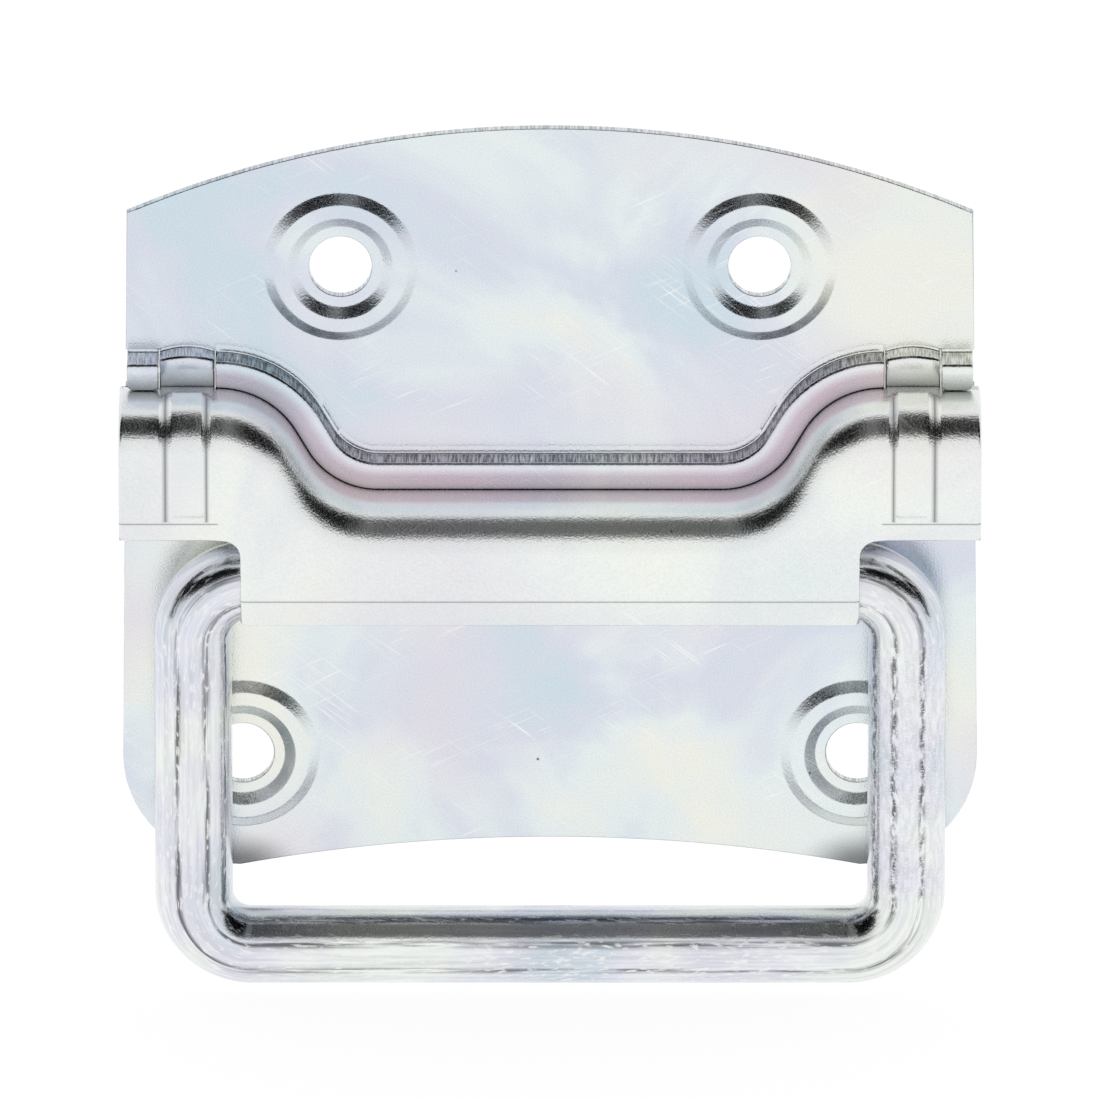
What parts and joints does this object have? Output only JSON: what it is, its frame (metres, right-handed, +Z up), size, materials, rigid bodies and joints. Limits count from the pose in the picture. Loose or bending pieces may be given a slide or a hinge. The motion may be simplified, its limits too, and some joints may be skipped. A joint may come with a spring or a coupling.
{
  "type": "chest handle",
  "caption": "Drop handle for a chest: pressed steel back plate with screw holes, a hooked-on front cover with ears and flap, and a bent rod bail that swings up to carry by.",
  "frame": {"origin": "on the back face of the back plate, on its centre line and midway between the two rows of screw holes", "axes": "+X to the right seen from the front, +Y into the wall that the plate is screwed to, +Z up"},
  "size_m": [0.088, 0.0128, 0.091],
  "materials": {
    "plate": "bright zinc plate with a pale iridescent passivation",
    "cover": "bright zinc plate with a pale iridescent passivation",
    "rod": "bright zinc plate with a pale iridescent passivation"
  },
  "bodies": {
    "mount": {"back_plate": "plate", "front_cover": "cover"},
    "bail": {"bail": "rod"}
  },
  "joints": [
    {"name": "bail_swing", "type": "hinge", "parent": "mount", "child": "bail", "pos_m": [0, -0.0063, -0.0056], "axis": [-1, 0, 0], "range_deg": [0, 100]}
  ]
}
